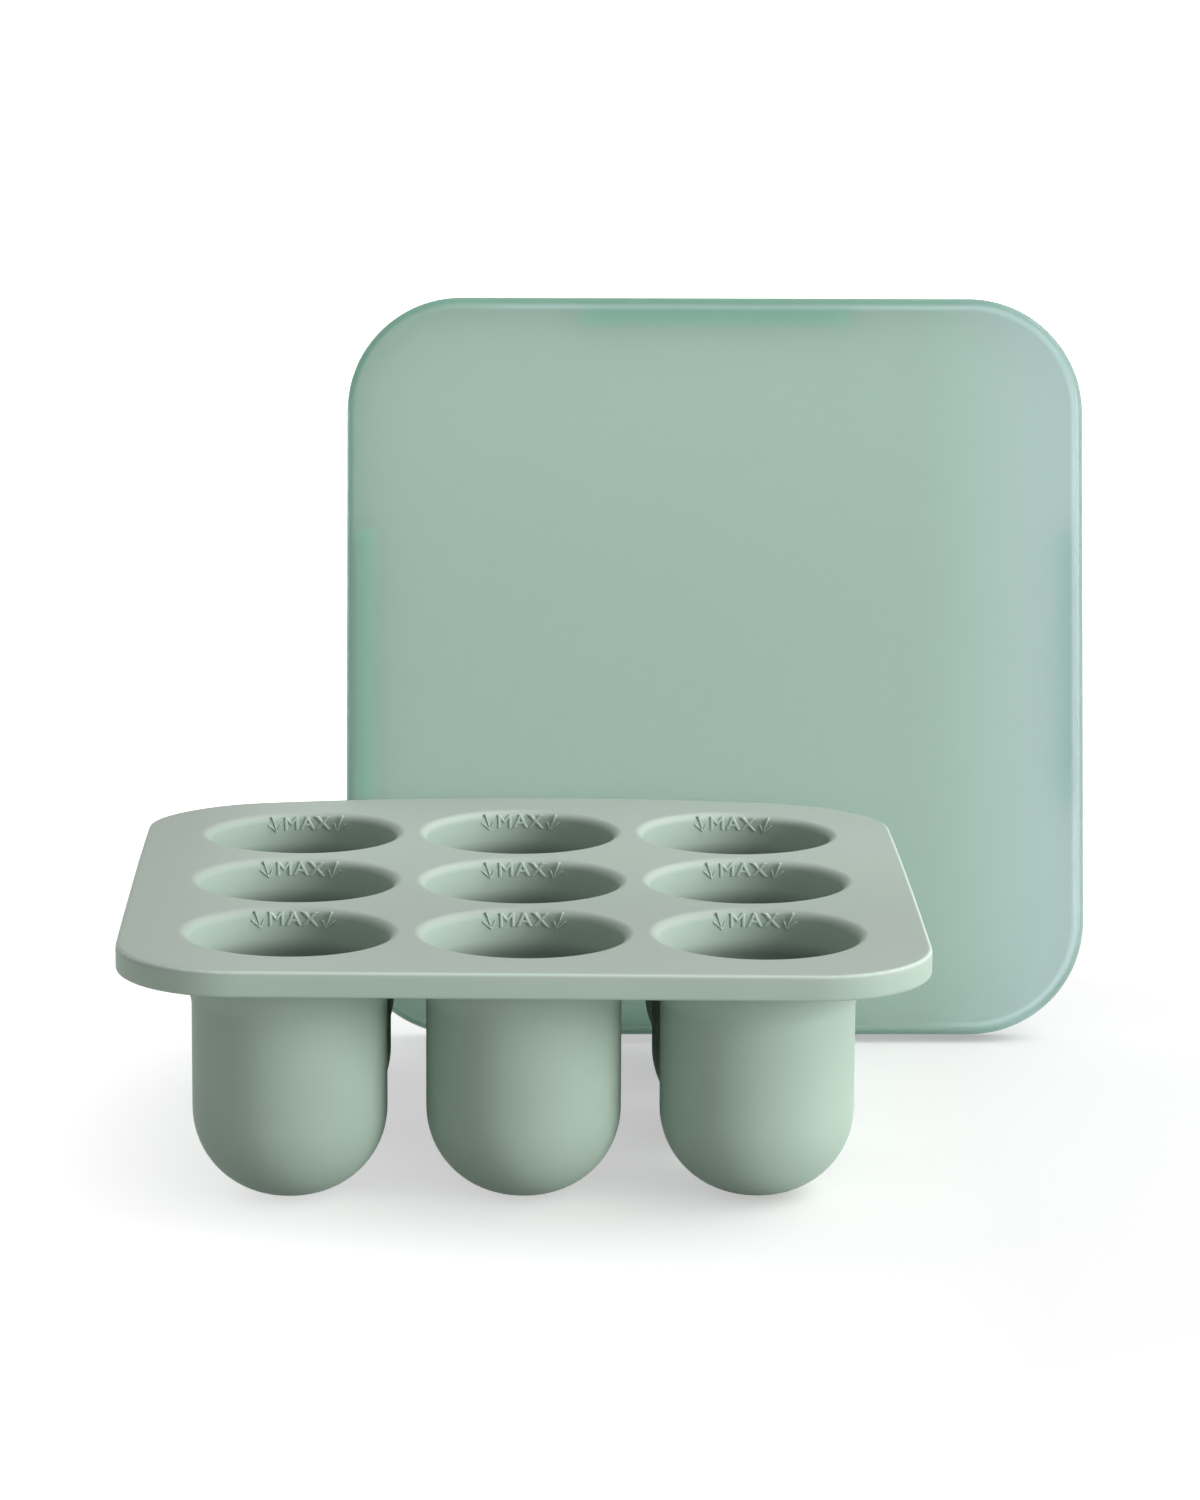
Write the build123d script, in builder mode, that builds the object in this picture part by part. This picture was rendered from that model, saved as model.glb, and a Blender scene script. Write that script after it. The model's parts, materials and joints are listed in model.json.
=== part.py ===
"""Baby food freezer tray: a silicone tray of nine round-bottomed cups, and the plastic lid that snaps
onto its rim. The lid stands on its edge behind the tray, outer face forward.

Frame: millimetres, +Z up, origin on the floor under the centre of the middle cup.
+X runs to the right along the tray, and the lid stands on the +Y side.
"""
from build123d import *
from math import acos, cos, degrees, radians, sin, sqrt
import os

# ---------------------------------------------------------------- driving dimensions
# cups
cups_per_side = 3
cup_radius = 24.2
cup_wall = 1.9
crown_radius = 32.0  # the flatter round in the middle of a cup's bottom
corner_inset = 2.2  # from the cup's axis to the centre of the bottom's round corner
foot_radius = 3.0  # moulded flat that each cup stands on
neck_depth = 17.5  # below the deck's top, where the straight wall starts to open
shoulder_depth = 9.0  # below the deck's top, where it has opened to the mouth
mouth_radius = 24.9
mouth_rounding = 2.3
mouth_spacing = 3.6  # flat of the deck between the roundings of two mouths

# deck and turned-down rim
tray_height = 66.5
deck_border = 42.0  # from the axis of an outer cup to the edge of the deck
deck_corner = 29.5
deck_thickness = 2.6
rim_height = 6.6
rim_wall = 2.4
rim_top_rounding = 1.0
rim_foot_rounding = 0.8

# lid
lid_panel = 1.8
lid_wall = 1.7
lid_rounding = 2.5
lid_inside_rounding = 1.0
lid_edge_chamfer = 0.4
rim_clearance = 0.5  # between the rim of the tray and the skirt of the closed lid
snap_play = 0.4  # between the foot of the rim and the snap lips of the closed lid
lip_length = 77.0
lip_reach = 4.0
lip_height = 2.2
lip_nose = 0.8  # height of the blunt edge that hooks under the rim
lip_rounding = 0.35

# how the lid stands behind the tray
lid_lean = 12.9  # degrees back from upright
lid_shift = 54.6  # centre of the lid, along X
lid_gap = 0.5  # from the back of the deck to the edge that the lid stands on

# ---------------------------------------------------------------- worked-out dimensions
cup_pitch = 2 * (mouth_radius + mouth_rounding) + mouth_spacing
deck_size = (cups_per_side - 1) * cup_pitch + 2 * deck_border
deck_middle = tray_height - deck_thickness / 2
rim_foot = tray_height - rim_height
neck_height = tray_height - neck_depth
shoulder_height = tray_height - shoulder_depth
cup_hollow_radius = cup_radius - cup_wall
corner_radius = cup_radius - corner_inset
crown_height = sqrt(crown_radius**2 - foot_radius**2)
corner_height = crown_height - sqrt((crown_radius - corner_radius) ** 2 - corner_inset**2)
foot_angle = degrees(acos(foot_radius / crown_radius))
crown_angle = degrees(acos(corner_inset / (crown_radius - corner_radius)))

lid_fit = rim_clearance + lid_wall
lid_size = deck_size + 2 * lid_fit
lid_corner = deck_corner + lid_fit
skirt_height = rim_height + snap_play + lip_height
lid_depth = lid_panel + skirt_height
skirt_inside = deck_size + 2 * rim_clearance
skirt_inside_corner = deck_corner + rim_clearance

# ---------------------------------------------------------------- one cup, outside and inside
# Both forms are turned about the cup's own axis: a round bottom, a straight wall, and a neck that
# opens to the mouth. The bottom's crown runs over into its corner, and the corner into the wall,
# without an edge. The outside stops inside the deck.
with BuildPart() as cup_outside:
    with BuildSketch(Plane.XZ):
        with BuildLine():
            CenterArc((0, crown_height), crown_radius, -foot_angle, foot_angle - crown_angle)
            CenterArc((corner_inset, corner_height), corner_radius, -crown_angle, crown_angle)
            Polyline(
                (cup_radius, corner_height),
                (cup_radius, neck_height),
                (mouth_radius + cup_wall, shoulder_height),
                (mouth_radius + cup_wall, deck_middle),
                (0, deck_middle),
                (0, 0),
                (foot_radius, 0),
            )
        make_face()
    revolve(axis=Axis.Z)

with BuildPart() as cup_inside:
    with BuildSketch(Plane.XZ):
        with BuildLine():
            CenterArc((0, crown_height), crown_radius - cup_wall, -90, 90 - crown_angle)
            CenterArc(
                (corner_inset, corner_height), corner_radius - cup_wall, -crown_angle, crown_angle
            )
            Polyline(
                (cup_hollow_radius, corner_height),
                (cup_hollow_radius, neck_height),
                (mouth_radius, shoulder_height),
                (mouth_radius, tray_height),
                (0, tray_height),
                (0, crown_height - crown_radius + cup_wall),
            )
        make_face()
    revolve(axis=Axis.Z)

# ---------------------------------------------------------------- the silicone tray
with BuildPart() as silicone_tray:
    # a slab as tall as the rim, with soft edges
    with BuildSketch(Plane.XY.offset(rim_foot)):
        RectangleRounded(deck_size, deck_size, deck_corner)
    extrude(amount=rim_height)
    slab_faces = silicone_tray.faces().sort_by(Axis.Z)
    fillet(slab_faces[-1].outer_wire().edges(), rim_top_rounding)
    fillet(slab_faces[0].outer_wire().edges(), rim_foot_rounding)

    # hollowed from below, which leaves the deck and the turned-down rim
    with BuildSketch(Plane.XY.offset(rim_foot)):
        RectangleRounded(
            deck_size - 2 * rim_wall, deck_size - 2 * rim_wall, deck_corner - rim_wall
        )
    extrude(amount=rim_height - deck_thickness, mode=Mode.SUBTRACT)

    # the cups, and their mouths rounded into the deck
    with GridLocations(cup_pitch, cup_pitch, cups_per_side, cups_per_side):
        add(cup_outside.part)
    with GridLocations(cup_pitch, cup_pitch, cups_per_side, cups_per_side):
        add(cup_inside.part, mode=Mode.SUBTRACT)
    deck_face = silicone_tray.faces().sort_by(Axis.Z)[-1]
    fillet(deck_face.inner_wires().edges(), mouth_rounding)

silicone_tray.part.label = "silicone_tray"

# ---------------------------------------------------------------- the snap lid
# Its own plane lies in the outer face, with X to the right, Y up the leaning panel and Z out of
# the face. The lid stands on the outer edge of its skirt, which touches the floor.
lean = radians(lid_lean)
edge_up = lid_size / 2
edge_back = lid_depth - lid_edge_chamfer
lid_plane = Plane(
    origin=(
        lid_shift,
        deck_size / 2 + lid_gap + edge_up * sin(lean) - edge_back * cos(lean),
        edge_up * cos(lean) + edge_back * sin(lean),
    ),
    x_dir=(1, 0, 0),
    z_dir=(0, -cos(lean), sin(lean)),
)
out_of_lid = Axis(lid_plane.origin, lid_plane.z_dir)

with BuildPart() as snap_lid:
    # the outer form, rounded over round the panel
    with BuildSketch(lid_plane):
        RectangleRounded(lid_size, lid_size, lid_corner)
    extrude(amount=-lid_depth)
    lid_faces = snap_lid.faces().sort_by(out_of_lid)
    fillet(lid_faces[-1].outer_wire().edges(), lid_rounding)
    chamfer(lid_faces[0].outer_wire().edges(), lid_edge_chamfer)

    # the hollow that takes the rim of the tray
    with BuildSketch(lid_plane.offset(-lid_panel)):
        RectangleRounded(skirt_inside, skirt_inside, skirt_inside_corner)
    extrude(amount=-skirt_height, mode=Mode.SUBTRACT)
    panel_inside = snap_lid.faces().filter_by(lid_plane).sort_by(out_of_lid)[-2]
    fillet(panel_inside.outer_wire().edges(), lid_inside_rounding)

    # four snap lips at the skirt's edge, one at the middle of each side
    for quarter_turn in range(4):
        inward = lid_plane.x_dir.rotate(out_of_lid, 90 * quarter_turn)
        lip_plane = Plane(
            origin=lid_plane.origin
            - lid_plane.z_dir * lid_depth
            - inward * skirt_inside / 2,
            x_dir=inward,
            z_dir=inward.cross(lid_plane.z_dir),
        )
        with BuildSketch(lip_plane) as lip_section:
            with BuildLine():
                Polyline(
                    (-lid_wall / 2, lip_rounding),
                    (0, lip_rounding),
                    (lip_reach, lip_height - lip_nose),
                    (lip_reach, lip_height),
                    (-lid_wall / 2, lip_height),
                    close=True,
                )
            make_face()
            fillet(lip_section.vertices().sort_by(Axis.X)[-2:], lip_rounding)
        extrude(amount=lip_length / 2, both=True)

snap_lid.part.label = "snap_lid"

# ---------------------------------------------------------------- one STEP file for each piece
os.makedirs("parts", exist_ok=True)
for piece in (silicone_tray, snap_lid):
    export_step(piece.part, f"parts/{piece.part.label}.step")
    print(piece.part.label, len(piece.part.solids()), "solid", round(piece.part.volume), "mm3")
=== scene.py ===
# %% [markdown]
# # A silicone freezer tray and its clip-on lid
# Nine round-bottomed cups hang from one soft deck, and a frosted plastic lid stands behind them.
# The construction model is loaded first as a fixed frame. It gives every place and size, and each
# visible piece below is modelled in that frame, in metres.

# %% Load the frame
import json
import math

import bmesh
import bpy
from mathutils import Matrix, Vector


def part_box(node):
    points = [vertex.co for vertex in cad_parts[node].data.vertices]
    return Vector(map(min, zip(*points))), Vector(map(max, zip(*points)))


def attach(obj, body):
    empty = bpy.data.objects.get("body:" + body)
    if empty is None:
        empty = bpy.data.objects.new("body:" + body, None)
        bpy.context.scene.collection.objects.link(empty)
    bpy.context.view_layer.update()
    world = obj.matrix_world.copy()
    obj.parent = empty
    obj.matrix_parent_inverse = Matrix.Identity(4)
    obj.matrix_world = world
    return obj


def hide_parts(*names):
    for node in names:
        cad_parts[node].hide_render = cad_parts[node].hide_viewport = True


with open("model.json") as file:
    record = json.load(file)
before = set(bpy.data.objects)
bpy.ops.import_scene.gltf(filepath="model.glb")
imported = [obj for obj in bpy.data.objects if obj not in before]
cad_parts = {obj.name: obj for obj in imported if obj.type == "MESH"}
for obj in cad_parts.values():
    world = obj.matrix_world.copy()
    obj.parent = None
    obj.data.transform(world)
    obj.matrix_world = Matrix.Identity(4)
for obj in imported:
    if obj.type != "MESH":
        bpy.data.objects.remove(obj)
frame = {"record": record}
bpy.ops.object.select_all(action="DESELECT")
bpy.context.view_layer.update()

# %% [markdown]
# ## Sizes of the tray
# The outline comes from the frame's own box. What a box can't say, such as the radius of a cup or
# of a corner, is written once here, and each piece adds its other sizes where it is modelled. `mm`
# keeps those numbers readable. A cup's bottom is two rounds: a flatter crown in the middle, and a
# corner that turns up into the wall.

# %% Sizes that the shape and the finish share
mm = 0.001

_, tray_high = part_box("silicone_tray")
deck_top = tray_high.z
deck_half = tray_high.x
corner_radius = 29.5 * mm
core_half = deck_half - corner_radius  # half the square that the deck's corners are rounded round
rim_top_rounding = 1 * mm
cup_pitch = 58 * mm
cup_wall = 1.9 * mm
cup_hollow = 22.3 * mm
corner_inset = 2.2 * mm  # from a cup's axis to the centre of its corner's round
corner_centre = 22.104 * mm  # the height of that centre
neck_start = deck_top - 18 * mm
neck_end = deck_top - 8.5 * mm
mouth_radius = 24.9 * mm
print("deck", round(2 * deck_half / mm), "mm wide and", round(deck_top / mm, 1), "mm up")

# %% [markdown]
# ## The camera
# The tray is seen from the front and from eleven degrees above, with a long lens, so its sides
# stay almost parallel. A small turn about the line of sight is written last, so it is made in the
# camera's own frame.

# %% Camera
camera_place = Vector((-13.02, -1360.37, 370.92)) * mm
look_down = 0.1962  # in radians, like the next two
look_left = -0.0242
tilt = 0.0057
camera_data = bpy.data.cameras.new("camera")
camera_data.lens = 129.84
camera_data.sensor_width = 36
camera_data.clip_end = 50
camera = bpy.data.objects.new("camera", camera_data)
bpy.context.scene.collection.objects.link(camera)
camera.matrix_world = (
    Matrix.Translation(camera_place)
    @ Matrix.Rotation(look_left, 4, "Z")
    @ Matrix.Rotation(math.radians(90) - look_down, 4, "X")
    @ Matrix.Rotation(tilt, 4, "Z")
)
bpy.context.scene.camera = camera
print("camera at", [round(value, 3) for value in camera.location])

# %% [markdown]
# ## Light
# The key is a small soft box low on the right, in front of the tray. It lights the right-hand
# walls and leaves the right inner wall of every cup in shade. A weaker soft box high on the right
# lifts the deck, and the room, made further below, fills the rest. Point lamps would draw hard
# shadows that no soft box makes, so both lamps are wide discs.

# %% Lamps
scene = bpy.context.scene
scene.view_settings.view_transform = "Standard"
lamp_aim = Vector((0, 0, 50 * mm))
lamp_distance = 2


def soft_box(name, azimuth, elevation, size, power):
    """An area lamp that faces the tray. Azimuth 0 is the front and 90 the right, in degrees."""
    turn = math.radians(azimuth)
    rise = math.radians(elevation)
    level = math.cos(rise)
    way = Vector((math.sin(turn) * level, -math.cos(turn) * level, math.sin(rise)))
    data = bpy.data.lights.new(name, "AREA")
    data.shape = "DISK"
    data.size = size
    data.energy = power
    lamp = bpy.data.objects.new(name, data)
    scene.collection.objects.link(lamp)
    facing = way.to_track_quat("Z", "Y").to_matrix().to_4x4()
    lamp.matrix_world = Matrix.Translation(lamp_aim + lamp_distance * way) @ facing
    print(name, "at", [round(value, 2) for value in lamp.matrix_world.translation], power, "W")
    return lamp


key = soft_box("key_soft_box", azimuth=59, elevation=14, size=0.8, power=25.5)
soft_box("side_soft_box", azimuth=88, elevation=50, size=1.4, power=11)

# %% [markdown]
# ## Materials as expressions
# A finish is easier to read as arithmetic than as a list of links. `Wire` wraps one socket and
# adds a Math node for each operator, and `Finish` makes every other node through one method.

# %% A number that flows through a finish


class Wire:
    """A number that flows through a finish."""

    def __init__(self, finish, socket):
        self.finish = finish
        self.socket = socket

    def math(self, operation, *others):
        return self.finish.node("ShaderNodeMath", {"operation": operation}, [self, *others])

    def __add__(self, other):
        return self.math("ADD", other)

    __radd__ = __add__

    def __sub__(self, other):
        return self.math("SUBTRACT", other)

    def __rsub__(self, other):
        return self.finish.node("ShaderNodeMath", {"operation": "SUBTRACT"}, [other, self])

    def __mul__(self, other):
        return self.math("MULTIPLY", other)

    __rmul__ = __mul__

    def __truediv__(self, other):
        return self.math("DIVIDE", other)

    def __pow__(self, other):
        return self.math("POWER", other)

    def __abs__(self):
        return self.math("ABSOLUTE")

    def least(self, other):
        return self.math("MINIMUM", other)

    def most(self, other):
        return self.math("MAXIMUM", other)

    def fade(self, start, end):
        """0 at start and 1 at end, with soft ends."""
        settings = {"interpolation_type": "SMOOTHSTEP"}
        inputs = {"Value": self, "From Min": start, "From Max": end}
        return self.finish.node("ShaderNodeMapRange", settings, inputs)


print("a Wire can", sorted(name.strip("_") for name, does in vars(Wire).items() if callable(does)))

# %% A finish that makes its own nodes


class Finish:
    """A material, or a world, whose nodes are made in code."""

    def __init__(self, data):
        self.data = data
        data.use_nodes = True
        self.tree = data.node_tree
        self.tree.nodes.clear()

    def node(self, kind, settings=None, inputs=None, output=0):
        """Makes one node. Its inputs are given by name, or in order as a list."""
        made = self.tree.nodes.new(kind)
        for key, value in (settings or {}).items():
            setattr(made, key, value)
        pairs = inputs.items() if isinstance(inputs, dict) else enumerate(inputs or [])
        for key, value in pairs:
            if isinstance(value, Wire):
                self.tree.links.new(value.socket, made.inputs[key])
            else:
                made.inputs[key].default_value = value
        return Wire(self, made.outputs[output]) if made.outputs else made

    def place(self):
        """The point being shaded, in the frame's own metres."""
        return self.node("ShaderNodeTexCoord", output="Object")

    def split(self, place):
        """The X, Y and Z of a place."""
        parts = self.node("ShaderNodeSeparateXYZ", None, [place]).socket.node.outputs
        return [Wire(self, part) for part in parts]

    def noise(self, place, size, detail=2.0, roughness=0.5):
        """Cloudy noise from 0 to 1 whose clouds are about size across."""
        inputs = {"Vector": place, "Scale": 1 / size, "Detail": detail, "Roughness": roughness}
        return self.node("ShaderNodeTexNoise", None, inputs)

    def mix(self, share, first, second):
        """Two colours, blended by a number from 0 to 1."""
        made = self.tree.nodes.new("ShaderNodeMix")
        made.data_type = "RGBA"
        for socket, value in (("Factor_Float", share), ("A_Color", first), ("B_Color", second)):
            target = next(item for item in made.inputs if item.identifier == socket)
            if isinstance(value, Wire):
                self.tree.links.new(value.socket, target)
            else:
                target.default_value = value
        return Wire(self, next(item for item in made.outputs if item.identifier == "Result_Color"))

    def seen(self):
        """1 for rays from the camera, a mirror or glass, and 0 for light that falls on things."""
        kinds = ("Is Camera Ray", "Is Glossy Ray", "Is Transmission Ray")
        rays = [self.node("ShaderNodeLightPath", output=kind) for kind in kinds]
        return rays[0].most(rays[1]).most(rays[2])

    def principled(self, **inputs):
        """A Principled shader. Socket names have _ for each space."""
        named = {key.replace("_", " "): value for key, value in inputs.items()}
        return self.node("ShaderNodeBsdfPrincipled", None, named)

    def surface(self, shader, kind="ShaderNodeOutputMaterial"):
        """Ends the finish in its output."""
        self.node(kind, None, {"Surface": shader})
        return self.data


def new_finish(name):
    """An empty finish for a new material."""
    return Finish(bpy.data.materials.new(name))


print("a Finish can", sorted(name for name in vars(Finish) if not name.startswith("_")))

# %% [markdown]
# ## Colours
# Screens and colour charts count from 0 to 255 on a curve, and Blender's sockets take linear
# light. The two agree at black and white alone, so every colour below goes through one function.

# %% Colours from screen values


def colour(red, green, blue):
    """A linear colour from the usual screen values of 0 to 255."""

    def linear(value):
        value = value / 255
        return value / 12.92 if value <= 0.04045 else ((value + 0.055) / 1.055) ** 2.4

    return (linear(red), linear(green), linear(blue), 1)


white = (1, 1, 1, 1)
print("a screen's middle grey is", round(colour(128, 128, 128)[0], 3), "in linear light")

# %% [markdown]
# ## The room
# The walls of a pale studio fill every shadow a little. More lamps could do it, but each would
# draw a shadow of its own, so a world background does it here, brighter on the right and behind.
# The camera, mirrors and glass see plain white in its place.

# %% World
fill_strength = 0.57
fill_to_right = 0.45
fill_to_back = 0.4
world = bpy.data.worlds.new("studio")
scene.world = world
studio = Finish(world)
plain_white = studio.node("ShaderNodeBackground", None, {"Color": white, "Strength": 1.0})
sky_right, sky_back, _ = studio.split(studio.node("ShaderNodeTexCoord", output="Generated"))
room_strength = fill_strength * (1 + fill_to_right * sky_right + fill_to_back * sky_back)
room_fill = studio.node("ShaderNodeBackground", None, {"Color": white, "Strength": room_strength})
studio.surface(
    studio.node("ShaderNodeMixShader", None, [studio.seen(), room_fill, plain_white]),
    "ShaderNodeOutputWorld",
)
print("world nodes", len(studio.tree.nodes), "fill", fill_strength)

# %% [markdown]
# ## The floor
# The floor is a large white sheet that takes the soft shadow. It belongs to the stage and not to
# the tray. The key is kept off it, as with a flag in a studio, so that only the soft light draws
# the shadow. The camera sees the sheet lifted towards white, more on the left, where the shadow
# would grow too heavy, and altogether further away, so that the sheet has no edge.

# %% Floor
sheet_size = 40
sheet_height = -0.2 * mm
lift_at_middle = 0.54
lift_until = 120 * mm  # to the right of the middle, where the lift stops falling
lift_per_whole = 750 * mm  # the distance over which it would fall by 1
white_from = 140 * mm
white_beyond = 360 * mm
sheet_white = (0.8, 0.8, 0.8, 1)
bpy.ops.mesh.primitive_plane_add(size=sheet_size, location=(0, 0, sheet_height))
floor = bpy.context.object
floor.name = "floor"
paper = new_finish("white_paper")
shown = paper.seen()
distance = paper.node("ShaderNodeVectorMath", {"operation": "LENGTH"}, [paper.place()], "Value")
floor_right, _, _ = paper.split(paper.place())
near_white = lift_at_middle - floor_right.least(lift_until) / lift_per_whole
far_white = distance.fade(white_from, white_beyond)
floor.data.materials.append(
    paper.surface(
        paper.principled(
            Base_Color=sheet_white,
            Roughness=1.0,
            Specular_IOR_Level=0.0,
            Emission_Color=white,
            Emission_Strength=shown * near_white.most(far_white),
        )
    )
)
unlit = bpy.data.collections.new("not_lit_by_the_key")
unlit.objects.link(floor)
unlit.collection_objects[0].light_linking.link_state = "EXCLUDE"
key.light_linking.receiver_collection = unlit
bpy.ops.object.select_all(action="DESELECT")
print("floor", [round(side, 1) for side in floor.dimensions])

# %% [markdown]
# ## How the soft deck sags
# Silicone doesn't keep a deck flat: the back corners and the front edge hang by a millimetre or
# two, and the middle of the back stands a little proud. The sag is nothing at the floor and grows
# with height, so every cup still stands where it did. A lattice could bend the mesh as well, but
# the finish needs the same sag to know the moulded height, so it is a function that uses only
# operators that numbers and Wires share.

# %% The sag as arithmetic
back_rise = 1  # millimetres at the deck's height, like the next five
back_corner_drop = 3
front_drop = 0.6
front_drop_to_right = 0.8
left_rise = 0.8
even_drop = 0.2


def above_zero(value):
    """The value, or 0 where it is negative."""
    return (value + abs(value)) * 0.5


def sag(x, y, z):
    """How far the deck has moved up from its moulded height at a point, in metres."""
    side = x / deck_half
    end = y / deck_half
    back = above_zero(end)
    front = above_zero(0 - end)
    left = above_zero(0 - side)
    at_back = back**2 * (back_rise - back_corner_drop * side**2)
    at_front = front**2 * (front_drop + front_drop_to_right * side)
    at_left = left_rise * left**2 * (1 - end**2)
    return (at_back - at_front - even_drop + at_left) * mm * above_zero(z) / deck_top


print("the front edge hangs by", round(-sag(0, -deck_half, deck_top) / mm, 2), "mm")

# %% [markdown]
# ## The silicone
# Platinum silicone from a blasted mould is matt and slightly milky. Its colour is an even sage
# green. Broad clouds vary it a little, a fine grain breaks up the shine, and the rough mould
# leaves a bump far below a tenth of a millimetre. The deck is a little greyer than the cups, with
# painted shade dimming its left edge and painted light making it paler towards the back. Painted
# light makes the walls inside the hollows paler. The cores that form the hollows are polished:
# deep in a cup the surface is smoother, and painted shade darkens its colour there. A painted
# highlight makes the rolled edge of the deck and the raised fill marks paler.

# %% Colours of the silicone
sage = colour(168, 188, 174)
pale_sage = colour(172, 192, 178)
deck_sage = colour(177, 189, 180)
# painted shade: the deck's colour at its left edge
painted_shade_deck = colour(168, 180, 171)
# painted light: the deck's colour towards the back
painted_light_deck = colour(193, 206, 197)
# painted light: the walls inside the hollows, paler than the outside
painted_light_hollow_sage = colour(176, 195, 181)
# painted shade: the colour deep in a cup
painted_deep_shade_sage = colour(112, 125, 116)
# painted highlight: the rolled edge of the deck and the raised marks
painted_highlight_sage = colour(204, 221, 209)
print("sage in linear light", [round(value, 3) for value in sage[:3]])

# %% [markdown]
# ## Where a point lies on the tray
# An image could be painted with these shades, but it would need an unwrapped mesh and would blur
# close by. Here each shade is worked out from the point's own place: how far it is from the
# nearest cup's axis, how high it was moulded, and how far it is past the deck's core square.

# %% Masks for the tray
silicone = new_finish("sage_silicone")
place = silicone.place()
at_x, at_y, sagged_height = silicone.split(place)
at_height = sagged_height - sag(at_x, at_y, sagged_height)


def from_cup_axis(along):
    """Distance from the nearest cup's axis along X or Y."""
    return abs(abs(abs(along) - cup_pitch / 2) - cup_pitch / 2)


def beyond_core(across, along):
    """Distance from the core square to a place, and less than 0 inside it."""
    past_x = abs(across) - core_half
    past_y = abs(along) - core_half
    round_part = (past_x.most(0.0) ** 2.0 + past_y.most(0.0) ** 2.0) ** 0.5
    return round_part + past_x.most(past_y).least(0.0)


from_axis = (from_cup_axis(at_x) ** 2.0 + from_cup_axis(at_y) ** 2.0) ** 0.5
past_inset = (from_axis - corner_inset).most(0.0)
below_corner = at_height.least(corner_centre) - corner_centre
from_middle = (past_inset**2.0 + below_corner**2.0) ** 0.5 + corner_inset
hollow_edge = cup_hollow + (mouth_radius - cup_hollow) * at_height.fade(neck_start, neck_end)
in_hollow = 1 - (from_middle - hollow_edge).fade(0.3 * cup_wall, 0.6 * cup_wall)
off_the_wall = (mouth_radius - from_axis).fade(0.05 * mm, 0.3 * mm)
raised = off_the_wall * at_height.fade(neck_end, neck_end + 1 * mm)
# painted shade deep in each cup; the same mask also makes the polished core smoother
painted_deep_shade_and_polish = in_hollow * (deck_top - at_height).fade(7.5 * mm, 12 * mm)
past_edge = (beyond_core(at_x, at_y) - (corner_radius - rim_top_rounding)).most(0.0)
up_edge = (at_height - (deck_top - rim_top_rounding)).most(0.0)
# painted highlight along the middle of the deck's rounded top edge
painted_edge_highlight = (past_edge * up_edge * (2 / rim_top_rounding**2)) ** 2.0
flat_deck = at_height.fade(deck_top - 2 * mm, deck_top - 0.5 * mm)
# painted shade: 0 at the deck's left edge, where its colour is dimmed
painted_shade_left_fade = at_x.fade(-100 * mm, -60 * mm)
# painted light: the deck grows paler towards the back
painted_light_back = at_y.fade(-55 * mm, 65 * mm) * at_x.fade(-95 * mm, -45 * mm)
print("the masks take", len(silicone.tree.nodes), "nodes")

# %% Silicone finish
clouds = silicone.noise(place, 45 * mm, 3.0)
grain = silicone.noise(place, 0.5 * mm, 2.0, 0.6)
silicone_bump = silicone.node(
    "ShaderNodeBump",
    None,
    {"Strength": 0.35, "Distance": 0.04 * mm, "Height": grain},
)
cloudy_sage = silicone.mix(clouds.fade(0.35, 0.65), sage, pale_sage)
deck_colour = silicone.mix(painted_shade_left_fade, painted_shade_deck, deck_sage)
deck_colour = silicone.mix(painted_light_back, deck_colour, painted_light_deck)
# painted light inside the hollows
wall_colour = silicone.mix(in_hollow, cloudy_sage, painted_light_hollow_sage)
wall_colour = silicone.mix(flat_deck, wall_colour, deck_colour)
# painted highlight on the rolled edge and, a little weaker, on the raised marks
edge_colour = silicone.mix(painted_edge_highlight.most(0.8 * raised), wall_colour, painted_highlight_sage)
silicone_material = silicone.surface(
    silicone.principled(
        Base_Color=silicone.mix(painted_deep_shade_and_polish, edge_colour, painted_deep_shade_sage),
        Roughness=0.5 + 0.12 * grain - 0.14 * painted_deep_shade_and_polish,
        IOR=1.41,
        Specular_IOR_Level=0.15,
        Normal=silicone_bump,
    )
)
print("silicone nodes", len(silicone.tree.nodes))

# %% [markdown]
# ## Working in edit mode
# An operator works on what is selected, so each step first chooses its vertices by a rule. A
# ring of open edges is then extruded, and every new point is put where a function says.

# %% Choose, place and extrude


def choose(rule):
    """Selects the vertices of the edited mesh that fit the rule, and nothing else."""
    mesh = bmesh.from_edit_mesh(bpy.context.object.data)
    mesh.verts.ensure_lookup_table()
    bpy.ops.mesh.select_all(action="DESELECT")
    for vertex in mesh.verts:
        vertex.select_set(bool(rule(vertex)))
    mesh.select_flush_mode()
    bmesh.update_edit_mesh(bpy.context.object.data)


def place_chosen(where):
    """Moves each selected vertex to where(its place)."""
    mesh = bmesh.from_edit_mesh(bpy.context.object.data)
    for vertex in mesh.verts:
        if vertex.select:
            vertex.co = where(vertex.co)
    bmesh.update_edit_mesh(bpy.context.object.data)


def extrude_chosen(where):
    """Extrudes what is selected once, and places its new vertices."""
    bpy.ops.mesh.extrude_region_move()
    place_chosen(where)


print("edit mode helpers:", choose.__name__, place_chosen.__name__, extrude_chosen.__name__)

# %% [markdown]
# ## Profiles and outlines
# A moulding's edge is easiest to give as a profile: pairs of how far out and how high, with an arc
# for each rounding. Deck, rim and lid all follow one rounded square, so a ring is put on it by
# going out from the core square, which keeps every wall even round the corners.

# %% Points on an arc and on the rounded square


def arc(centre, radius, start, end, steps):
    """Points of a profile on an arc, after the one at its start. Angles are in degrees."""
    angles = [math.radians(start + (end - start) * step / steps) for step in range(1, steps + 1)]
    return [(centre[0] + radius * math.cos(a), centre[1] + radius * math.sin(a)) for a in angles]


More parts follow.
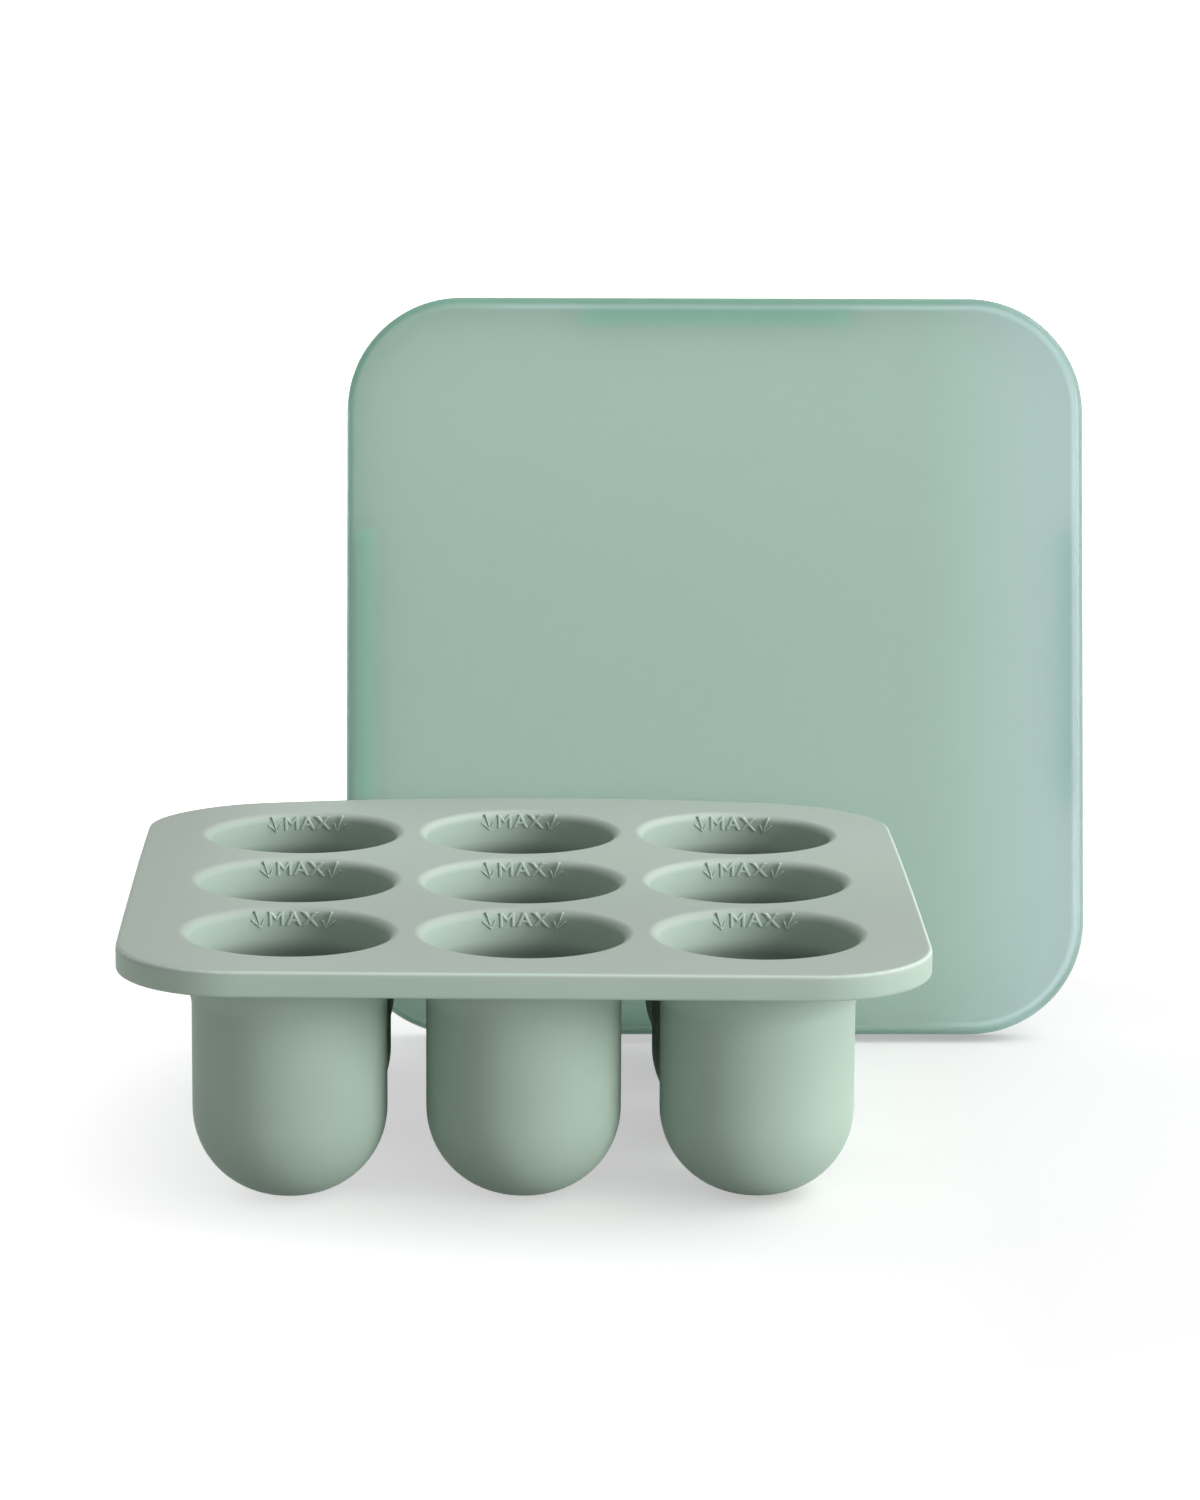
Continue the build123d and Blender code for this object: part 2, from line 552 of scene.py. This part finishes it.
def on_outline(radius, height):
    """Puts a point on the rounded square that lies radius outside the core square, at height."""

    def where(point):
        inner = Vector([max(-core_half, min(core_half, value)) for value in point.xy])
        way = (point.xy - inner).normalized()
        return Vector((*(inner + way * radius), height))

    return where


print("core square", round(2 * core_half / mm, 1), "mm")

# %% [markdown]
# ## One cup
# A cup is a round bottom, a straight wall, a neck that opens gently, and a mouth that rolls over
# into the deck. Spin could turn its whole profile, but the lower half of a sphere has even rows and
# a closed pole already, so that becomes the bottom.

# %% Start from half a sphere
tolerance = 0.01 * mm  # points nearer than this are one point
around = 96
rings = 40
corner_cup = -cup_pitch
cup_axis = Vector((corner_cup, corner_cup, 0))
bpy.ops.mesh.primitive_uv_sphere_add(
    segments=around,
    ring_count=rings,
    radius=cup_hollow,
    location=(corner_cup, corner_cup, corner_centre),
)
tray = bpy.context.object
tray.name = "tray_silicone"
bpy.ops.object.transform_apply(location=True)
bpy.ops.object.mode_set(mode="EDIT")
bpy.ops.mesh.select_mode(type="VERT")
choose(lambda vertex: vertex.co.z > corner_centre + tolerance)
bpy.ops.mesh.delete(type="VERT")
bpy.ops.object.mode_set(mode="OBJECT")
print("half a sphere has", len(tray.data.polygons), "faces")

# %% [markdown]
# ## The cup's bottom
# The real bottom is flatter than a sphere, with a tighter corner. Scaling the sphere would make
# an ellipse, which is neither. Each point slides instead to the place on the crown or the corner
# that has the same slope, so the two rounds meet without an edge.

# %% Slide the half sphere onto the crown and the corner
crown_hollow = 30.1 * mm
crown_centre = 31.859 * mm
crown_slope = corner_inset / (crown_hollow - cup_hollow + corner_inset)


def on_bottom(point):
    """The place on the cup's bottom that has the same slope as a point of the sphere."""
    slope = (point - cup_axis - Vector((0, 0, corner_centre))) / cup_hollow
    outward = slope.xy.length
    if outward < crown_slope:
        return cup_axis + Vector((0, 0, crown_centre)) + slope * crown_hollow
    corner = slope.xy.to_3d() * corner_inset / outward + Vector((0, 0, corner_centre))
    return cup_axis + corner + slope * (cup_hollow - corner_inset)


bpy.ops.object.mode_set(mode="EDIT")
choose(lambda vertex: True)
place_chosen(on_bottom)
bpy.ops.object.mode_set(mode="OBJECT")
lowest = min(vertex.co.z for vertex in tray.data.vertices)
print("the hollow's lowest point is", round(lowest / mm, 2), "mm up")

# %% [markdown]
# ## The cup's wall, neck and mouth
# The open ring is drawn up through the rest of the profile, one extrusion for each pair. The last
# ring is pushed out to a square, so that cups join side by side.

# %% The profile above the bottom
mouth_rounding = 2.3 * mm
edge_band = 0.3 * mm  # flat beside each rounded edge, so that its shading stays even
wall_steps = 3
wall_height = neck_start - corner_centre
wall_profile = [
    (cup_hollow, corner_centre + wall_height * step / wall_steps)
    for step in range(1, wall_steps + 1)
]
neck_steps = 8
neck_profile = []
for step in range(1, neck_steps + 1):
    share = step / neck_steps
    soft = share * share * (3 - 2 * share)
    neck_radius = cup_hollow + (mouth_radius - cup_hollow) * soft
    neck_profile.append((neck_radius, neck_start + (neck_end - neck_start) * share))
mouth_circle = (mouth_radius + mouth_rounding, deck_top - mouth_rounding)
cup_profile = [
    *wall_profile,
    *neck_profile,
    (mouth_radius, deck_top - mouth_rounding),
    *arc(mouth_circle, mouth_rounding, 180, 90, steps=7),
    (mouth_circle[0] + edge_band, deck_top),
]
print("the profile has", len(cup_profile), "rings")

# %% Draw the cup up and out to its square of deck


def to_square(point):
    """Pushes a point out from the cup's axis to the edge of the cup's square of deck."""
    away = point - cup_axis
    reach = cup_pitch / 2 / max(abs(away.x), abs(away.y))
    return Vector((corner_cup + away.x * reach, corner_cup + away.y * reach, deck_top))


bpy.ops.object.mode_set(mode="EDIT")
choose(lambda vertex: vertex.is_boundary)
for radius, height in cup_profile:
    extrude_chosen(
        lambda point: cup_axis
        + (point - cup_axis).xy.normalized().to_3d() * radius
        + Vector((0, 0, height))
    )
extrude_chosen(to_square)
bpy.ops.mesh.select_all(action="SELECT")
bpy.ops.mesh.flip_normals()
bpy.ops.object.mode_set(mode="OBJECT")
print("one cup has", len(tray.data.polygons), "faces")

# %% [markdown]
# ## Nine cups with a real wall
# The cup is repeated three by three with Array modifiers that weld the shared edges. An outside
# modelled by hand would leave the wall uneven, so Solidify gives the surface its wall, away from
# the hollows, and inside and outside stay parallel. What would pass the floor or the deck's
# underside is brought back to it: that makes the flat under each cup.

# %% Repeat the cup
cups_per_side = 3
for name, offset in (("columns", (cup_pitch, 0, 0)), ("rows", (0, cup_pitch, 0))):
    array = tray.modifiers.new(name, "ARRAY")
    array.count = cups_per_side
    array.use_relative_offset = False
    array.use_constant_offset = True
    array.constant_offset_displace = offset
    array.use_merge_vertices = True
    array.merge_threshold = tolerance
    bpy.ops.object.modifier_apply(modifier=name)
top_count = len(tray.data.vertices)
print("nine cups have", len(tray.data.polygons), "faces and", top_count, "vertices on top")

# %% Give them a wall
deck_underside = deck_top - 2.6 * mm
wall = tray.modifiers.new("wall", "SOLIDIFY")
wall.thickness = cup_wall
wall.offset = -1
wall.use_rim = False
bpy.ops.object.modifier_apply(modifier="wall")
for vertex in tray.data.vertices[top_count:]:
    vertex.co.z = max(0, min(vertex.co.z, deck_underside))
print("with their wall they have", len(tray.data.polygons), "faces")

# %% [markdown]
# ## The turned-down rim
# The deck's edge rolls over and hangs down as a short wall, which the lid clips under. A Bevel
# modifier would also round edges that are sharp on the real tray, so the roundings are in the
# profile. The open edge of the top is drawn out to the rounded outline, over the edge, down, and
# up again inside, and then bridged to the open edge of the underside.

# %% The rim's profile
rim_foot = deck_top - 6.6 * mm
rim_wall = 2.4 * mm
rim_foot_rounding = 0.8 * mm
ring_inset = 3.5 * mm  # from the deck's edge to a first ring, past which the faces are even
rim_top_circle = (corner_radius - rim_top_rounding, deck_top - rim_top_rounding)
rim_foot_circle = (corner_radius - rim_foot_rounding, rim_foot + rim_foot_rounding)
rim_profile = [
    (corner_radius - ring_inset, deck_top),
    (rim_top_circle[0] - edge_band, deck_top),
    (rim_top_circle[0], deck_top),
    *arc(rim_top_circle, rim_top_rounding, 90, 0, steps=5),
    (corner_radius, rim_top_circle[1] - edge_band),
    (corner_radius, rim_foot_circle[1]),
    *arc(rim_foot_circle, rim_foot_rounding, 0, -90, steps=4),
    (corner_radius - rim_wall, rim_foot),
    (corner_radius - rim_wall, deck_underside),
]
print("the rim's profile has", len(rim_profile), "rings")

# %% Draw out the rim and close the tray
smooth_below = math.radians(35)
bpy.ops.object.mode_set(mode="EDIT")
choose(lambda vertex: vertex.is_boundary and vertex.index < top_count)
for radius, height in rim_profile:
    extrude_chosen(on_outline(radius, height))
choose(lambda vertex: vertex.is_boundary)
bpy.ops.mesh.bridge_edge_loops()
bpy.ops.object.mode_set(mode="OBJECT")
bpy.ops.object.shade_smooth_by_angle(angle=smooth_below)
print("tray has", len(tray.data.polygons), "faces")

# %% [markdown]
# ## Let the soft deck sag
# The sag is worked out above. Here it moves every vertex of the tray, in its mesh.

# %% Move the tray's vertices by the sag
for vertex in tray.data.vertices:
    vertex.co.z += sag(*vertex.co)
tray.data.materials.clear()
tray.data.materials.append(silicone_material)
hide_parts("silicone_tray")
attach(tray, "tray")
tray.select_set(False)
print("deck from", round(min(v.co.z for v in tray.data.vertices) / mm, 2), "to",
      round(max(v.co.z for v in tray.data.vertices) / mm, 2), "mm")

# %% [markdown]
# ## The fill marks
# Each cup says how far to fill it: MAX between two arrows that point down, raised a third of a
# millimetre on the far inner wall just below the mouth. A mould maker engraves such a mark flat
# and wraps it round the core. Here the word is a text object made into a mesh, whose own sizes are
# shares of its height. Each arrow is three thin bars, from its start points to its tip, given in
# millimetres. The flat drawing is joined before it is wrapped.

# %% The word, flat
mark_height = 3.7 * mm
word_width = 12.6 * mm
word_shift = 0.4 * mm
mark_relief = 0.35 * mm
mark_root = 0.9 * mm  # how deep it is set into the wall
bpy.ops.object.text_add()
word = bpy.context.object
word.data.body = "MAX"
word.data.size = 1
word.data.extrude = 0.05
word.data.bevel_depth = 0.045
word.data.offset = -0.02
word.data.bevel_resolution = 2
word.data.space_character = 1.12
bpy.ops.object.convert(target="MESH")
mark = bpy.context.object
mark.name = "fill_marks"
corners = [Vector(corner) for corner in mark.bound_box]
low = Vector([min(corner[axis] for corner in corners) for axis in range(3)])
high = Vector([max(corner[axis] for corner in corners) for axis in range(3)])
for vertex in mark.data.vertices:
    share = [(vertex.co[axis] - low[axis]) / (high[axis] - low[axis]) for axis in range(3)]
    vertex.co = (
        (share[0] - 0.5) * word_width + word_shift,
        share[1] * mark_height,
        share[2] * (mark_relief + mark_root) - mark_root,
    )
print("the word has", len(mark.data.polygons), "faces")

# %% The arrows, flat
stroke_width = 0.75 * mm
stroke_taper = 0.3  # width of a bar's top, as a share of its foot
arrow_shift = 0.3  # in millimetres, like the points below
arrow_tip = (8.3, -0.2)
arrow_starts = ((9.7, 4.0), (10.7, 1.9), (7.4, 1.8))


def add_bar(start, end):
    """Adds a straight raised stroke between two points of the flat drawing."""
    start, end = Vector(start) * mm, Vector(end) * mm
    along = (end - start).normalized()
    sideways = Vector((-along.y, along.x)) * stroke_width / 2

    def corner(point):
        foot = end if point.x > 0 else start
        top = point.z > 0
        flat = foot + sideways * math.copysign(stroke_taper if top else 1, point.y)
        return Vector((flat.x, flat.y, mark_relief if top else -mark_root))

    bpy.ops.mesh.primitive_cube_add(size=1)
    bpy.ops.object.mode_set(mode="EDIT")
    place_chosen(corner)
    bpy.ops.object.mode_set(mode="OBJECT")
    return bpy.context.object


bars = []
for side in (-1, 1):
    tip, *starts = [(x * side + arrow_shift, y) for x, y in (arrow_tip, *arrow_starts)]
    bars += [add_bar(start, tip) for start in starts]
bpy.ops.object.select_all(action="DESELECT")
for drawn in [*bars, mark]:
    drawn.select_set(True)
bpy.context.view_layer.objects.active = mark
bpy.ops.object.join()
mark_width = round(mark.dimensions.x / mm, 1)
print("one mark has", len(mark.data.polygons), "faces and is", mark_width, "mm wide")

# %% [markdown]
# ## Nine marks on the walls
# Wrapping turns the width of the drawing into an angle about the cup's axis. The letters' faces
# stay on one upright round wall, as on a turned core. Each cup gets a copy with its own mesh, and
# the copies sag with the deck.

# %% Copy the mark for every cup
rows = (-cup_pitch, 0, cup_pitch)
cup_axes = [Vector((x, y, 0)) for y in rows for x in rows]
marks = [mark]
for _ in cup_axes[1:]:
    bpy.ops.object.select_all(action="DESELECT")
    mark.select_set(True)
    bpy.context.view_layer.objects.active = mark
    bpy.ops.object.duplicate()
    marks.append(bpy.context.object)
print("marks", len(marks))

# %% Wrap each mark round its cup and join them
mark_foot = deck_top - 4.6 * mm
mark_face = mouth_radius - mark_relief
mark_smooth_below = math.radians(25)
weld_within = 0.001 * mm
for copy, axis in zip(marks, cup_axes):
    for vertex in copy.data.vertices:
        angle = vertex.co.x / mark_face
        radius = mark_face + mark_relief - vertex.co.z
        vertex.co = axis + Vector(
            (radius * math.sin(angle), radius * math.cos(angle), mark_foot + vertex.co.y)
        )
        vertex.co.z += sag(*vertex.co)
bpy.ops.object.select_all(action="DESELECT")
for copy in marks:
    copy.select_set(True)
bpy.context.view_layer.objects.active = mark
bpy.ops.object.join()
bpy.ops.object.mode_set(mode="EDIT")
bpy.ops.mesh.select_all(action="SELECT")
bpy.ops.mesh.remove_doubles(threshold=weld_within)
bpy.ops.mesh.normals_make_consistent(inside=False)
bpy.ops.object.mode_set(mode="OBJECT")
bpy.ops.object.shade_smooth_by_angle(angle=mark_smooth_below)
mark.data.materials.clear()
mark.data.materials.append(silicone_material)
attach(mark, "tray")
mark.select_set(False)
print("nine marks have", len(mark.data.polygons), "faces")

# %% [markdown]
# ## The lid
# The lid is one moulding of frosted polypropylene: a flat panel, a skirt round it, and four lips
# that clip under the rim of the tray. It is modelled lying flat, outer face up, with its outline
# on the same core square as the tray, and is leaned into place at the end. A plane becomes the
# panel, and its edge is drawn over, down and back up inside, as the rim's was.

# %% Sizes and profile of the lid
lid_low, lid_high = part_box("snap_lid")
lid_half = (lid_high.x - lid_low.x) / 2
lid_panel = 1.8 * mm
lid_wall = 1.7 * mm
lid_depth = 11 * mm
lid_rounding = 2.5 * mm
edge_rounding = 0.4 * mm
inside_rounding = 1 * mm
lid_corner = lid_half - core_half
skirt_radius = lid_corner - lid_wall
over_circle = (lid_corner - lid_rounding, -lid_rounding)
edge_circle = (lid_corner - edge_rounding, edge_rounding - lid_depth)
inside_circle = (skirt_radius - inside_rounding, -lid_panel - inside_rounding)
lid_profile = [
    *arc(over_circle, lid_rounding, 90, 0, steps=8),
    (lid_corner, -lid_rounding - edge_band),
    (lid_corner, edge_rounding - lid_depth),
    *arc(edge_circle, edge_rounding, 0, -90, steps=3),
    (skirt_radius, -lid_depth),
    (skirt_radius, inside_circle[1]),
    *arc(inside_circle, inside_rounding, 0, 90, steps=4),
]
print("lid", round(2 * lid_half / mm, 1), "mm wide, profile of", len(lid_profile), "rings")

# %% Model the lid's shell
corner_segments = 24
bpy.ops.mesh.primitive_plane_add(size=2 * (lid_half - lid_rounding))
lid = bpy.context.object
lid.name = "lid_shell"
bpy.ops.object.mode_set(mode="EDIT")
bpy.ops.mesh.select_all(action="SELECT")
bpy.ops.mesh.bevel(offset=over_circle[0], segments=corner_segments, affect="VERTICES")
bpy.ops.mesh.select_mode(type="VERT")
choose(lambda vertex: vertex.is_boundary)
place_chosen(on_outline(over_circle[0] - edge_band, 0))
for radius, height in [(over_circle[0], 0), *lid_profile]:
    extrude_chosen(on_outline(radius, height))
bpy.ops.mesh.edge_face_add()
bpy.ops.object.mode_set(mode="OBJECT")
lid.select_set(False)
print("lid shell has", len(lid.data.polygons), "faces")

# %% [markdown]
# ## The clip lips
# Each lip is a low wedge along the middle of one side, which hooks under the rim. A cube is
# shaped into the wedge once, its nose is rounded, and quarter turns copy it to the other sides.
# Lips drawn out of the skirt itself would need its rings cut at their ends, so a Boolean welds
# them on.

# %% Model one lip
lip_length = 77 * mm
lip_reach = 4 * mm
lip_height = 2.2 * mm
lip_nose = 0.8 * mm
lip_root = 1 * mm  # how far it is sunk into the skirt, so that the weld is whole
lip_lift = 0.35 * mm  # from the skirt's edge up to the foot of the wedge
lip_rounding = 0.3 * mm
skirt_inside = core_half + skirt_radius
bpy.ops.mesh.primitive_cube_add(size=1, location=(0, 0, 0))
lip = bpy.context.object
lip.name = "lip"
bpy.ops.object.mode_set(mode="EDIT")
bpy.ops.mesh.select_mode(type="VERT")


def lip_corner(point):
    """A corner of the wedge, from the matching corner of the cube."""
    at_nose = point.y < 0
    at_top = point.z > 0
    low = lip_height - lip_nose if at_nose else lip_lift
    return Vector(
        (
            math.copysign(lip_length / 2, point.x),
            skirt_inside + (-lip_reach if at_nose else lip_root),
            (lip_height if at_top else low) - lid_depth,
        )
    )


bpy.ops.mesh.select_all(action="SELECT")
place_chosen(lip_corner)
choose(lambda vertex: vertex.co.y < skirt_inside)
bpy.ops.mesh.bevel(offset=lip_rounding, segments=3, affect="EDGES")
bpy.ops.object.mode_set(mode="OBJECT")
print("one lip has", len(lip.data.polygons), "faces")

# %% Copy the lip to four sides and weld them on
lips = [lip]
for quarter in (1, 2, 3):
    copy = lip.copy()
    copy.data = lip.data.copy()
    copy.data.transform(Matrix.Rotation(math.radians(90) * quarter, 4, "Z"))
    scene.collection.objects.link(copy)
    lips.append(copy)
lip.select_set(False)

bpy.context.view_layer.objects.active = lid
lid.select_set(True)
for one_lip in lips:
    weld = lid.modifiers.new("weld", "BOOLEAN")
    weld.operation = "UNION"
    weld.solver = "EXACT"
    weld.object = one_lip
    bpy.ops.object.modifier_apply(modifier="weld")
for one_lip in lips:
    bpy.data.objects.remove(one_lip)
bpy.ops.object.shade_smooth_by_angle(angle=smooth_below)
print("lid with lips has", len(lid.data.polygons), "faces")

# %% [markdown]
# ## Frosted polypropylene
# The plastic lets light through but no picture. Rough glass could stand for it and would take long
# to settle, so light scatters some centimetres inside it instead. It is lit from behind as much as
# from the front, and its own colours are written darker than the lit panel looks. Where more
# plastic lies behind the panel, at the skirt and the lips, painted shade deepens its green, and
# the frosting blurs those shapes. Towards the right painted light makes it cooler and paler, and a
# painted highlight shows the inner corner of the skirt as a bright line there. The finish works
# that out in the lid's own plane: a Mapping node turns the frame's place into width and height on
# the panel, and the distance from the edge says what lies behind.

# %% Where a point lies on the lid
lid_mount = next(mount for mount in frame["record"]["mounts"] if mount["name"] == "lid_face")
lid_centre = Vector(lid_mount["pos_m"])
lid_out = Vector(lid_mount["axis"])
lid_up = lid_out.cross(Vector((1, 0, 0)))
lid_turn = math.atan2(lid_up.z, lid_up.y)

frosted = new_finish("frosted_sage_plastic")
on_lid = frosted.node(
    "ShaderNodeMapping",
    {"vector_type": "TEXTURE"},
    {"Vector": frosted.place(), "Location": lid_centre, "Rotation": (lid_turn, 0, 0)},
)
across, upward, _ = frosted.split(on_lid)
inside = lid_corner - beyond_core(across, upward)
print("lid's middle at", [round(value / mm, 1) for value in lid_centre], "mm")

# %% Masks for the lid
above_foot = (upward + lid_half).fade(1 * mm, 12 * mm)
# painted shade where the skirt lies behind the panel, weaker at the foot
skirt_shade = (1 - inside.fade(1.3 * mm, 2.6 * mm)) * (0.3 + 0.7 * above_foot)
inner_corner = inside.fade(1.7 * mm, 2.8 * mm) - inside.fade(2.8 * mm, 3.9 * mm)


def beside_lip(along):
    """1 along a lip, and 0 past its ends."""
    return 1 - abs(along).fade(lip_length / 2 - 3 * mm, lip_length / 2 + 1 * mm)


# painted shade where a lip lies behind the panel
lip_depth_shade = inside.fade(2.2 * mm, 3.2 * mm) * (1 - inside.fade(5.2 * mm, 10 * mm))
lip_shade = lip_depth_shade * beside_lip(across).most(beside_lip(upward))
# painted light: the right of the lid turns cooler and paler
painted_light_right = across.fade(52 * mm, 104 * mm)
towards_top = upward.fade(10 * mm, 100 * mm)
high_up = upward.fade(50 * mm, 90 * mm)
off_left = across.fade(-90 * mm, -40 * mm)
# painted light, strongest near the right edge
painted_light_beside_edge = painted_light_right * (1 - inside.fade(3 * mm, 14 * mm))
# painted highlight: the skirt's inner corner as a bright line, strongest on the right
painted_highlight_line = inner_corner * (painted_light_right * (1 - 0.6 * high_up)).most(0.45 * towards_top * off_left)
print("the masks take", len(frosted.tree.nodes), "nodes")

# %% Colours of the frosted plastic
panel_green = colour(118, 146, 131)
high_green = colour(125, 155, 139)
# painted light: the panel's cooler, paler colours towards the right
painted_light_green = colour(146, 178, 172)
# painted shade colours for the lips and the skirt
lip_shade_green = colour(111, 165, 144)
skirt_shade_green = colour(103, 148, 130)
# lip and skirt shade where painted light reaches them on the right
lip_shade_in_painted_light = colour(143, 186, 180)
skirt_shade_in_painted_light = colour(118, 138, 133)
painted_light_pale = colour(162, 195, 190)
# painted highlight colour of that line
painted_highlight_corner_colour = colour(177, 222, 219)
panel_colour = frosted.mix(towards_top, panel_green, high_green)
panel_colour = frosted.mix(painted_light_right, panel_colour, painted_light_green)
panel_colour = frosted.mix(0.5 * painted_light_beside_edge, panel_colour, painted_light_pale)
lip_colour = frosted.mix(painted_light_right, lip_shade_green, lip_shade_in_painted_light)
skirt_colour = frosted.mix(painted_light_right, skirt_shade_green, skirt_shade_in_painted_light)
layered = frosted.mix(lip_shade, panel_colour, lip_colour)
layered = frosted.mix(0.9 * skirt_shade, layered, skirt_colour)
print("with its colours it has", len(frosted.tree.nodes), "nodes")

# %% Frosted plastic finish
frost = frosted.noise(frosted.place(), 0.4 * mm, 2.0)
frost_bump = frosted.node(
    "ShaderNodeBump",
    None,
    {"Strength": 0.25, "Distance": 0.02 * mm, "Height": frost},
)
frosted_material = frosted.surface(
    frosted.principled(
        Base_Color=frosted.mix(painted_highlight_line, layered, painted_highlight_corner_colour),
        Roughness=0.34 + 0.08 * frost,
        IOR=1.49,
        Subsurface_Weight=1.0,
        Subsurface_Radius=(0.8, 1.0, 0.9),
        Subsurface_Scale=20 * mm,
        Normal=frost_bump,
    )
)
print("frosted plastic nodes", len(frosted.tree.nodes))

# %% [markdown]
# ## The lid in its place
# The shell is turned from lying flat to its lean and moved to the frame's own mount on the outer
# face. Its mesh is moved and not its object, so it rides on the lid's body from the origin.

# %% Lean the lid into place
lid.data.transform(Matrix.Translation(lid_centre) @ Matrix.Rotation(lid_turn, 4, "X"))
lid.data.materials.clear()
lid.data.materials.append(frosted_material)
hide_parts("snap_lid")
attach(lid, "lid")
lid.select_set(False)
print("lid leans by", round(90 - math.degrees(lid_turn), 1), "degrees")

# %% [markdown]
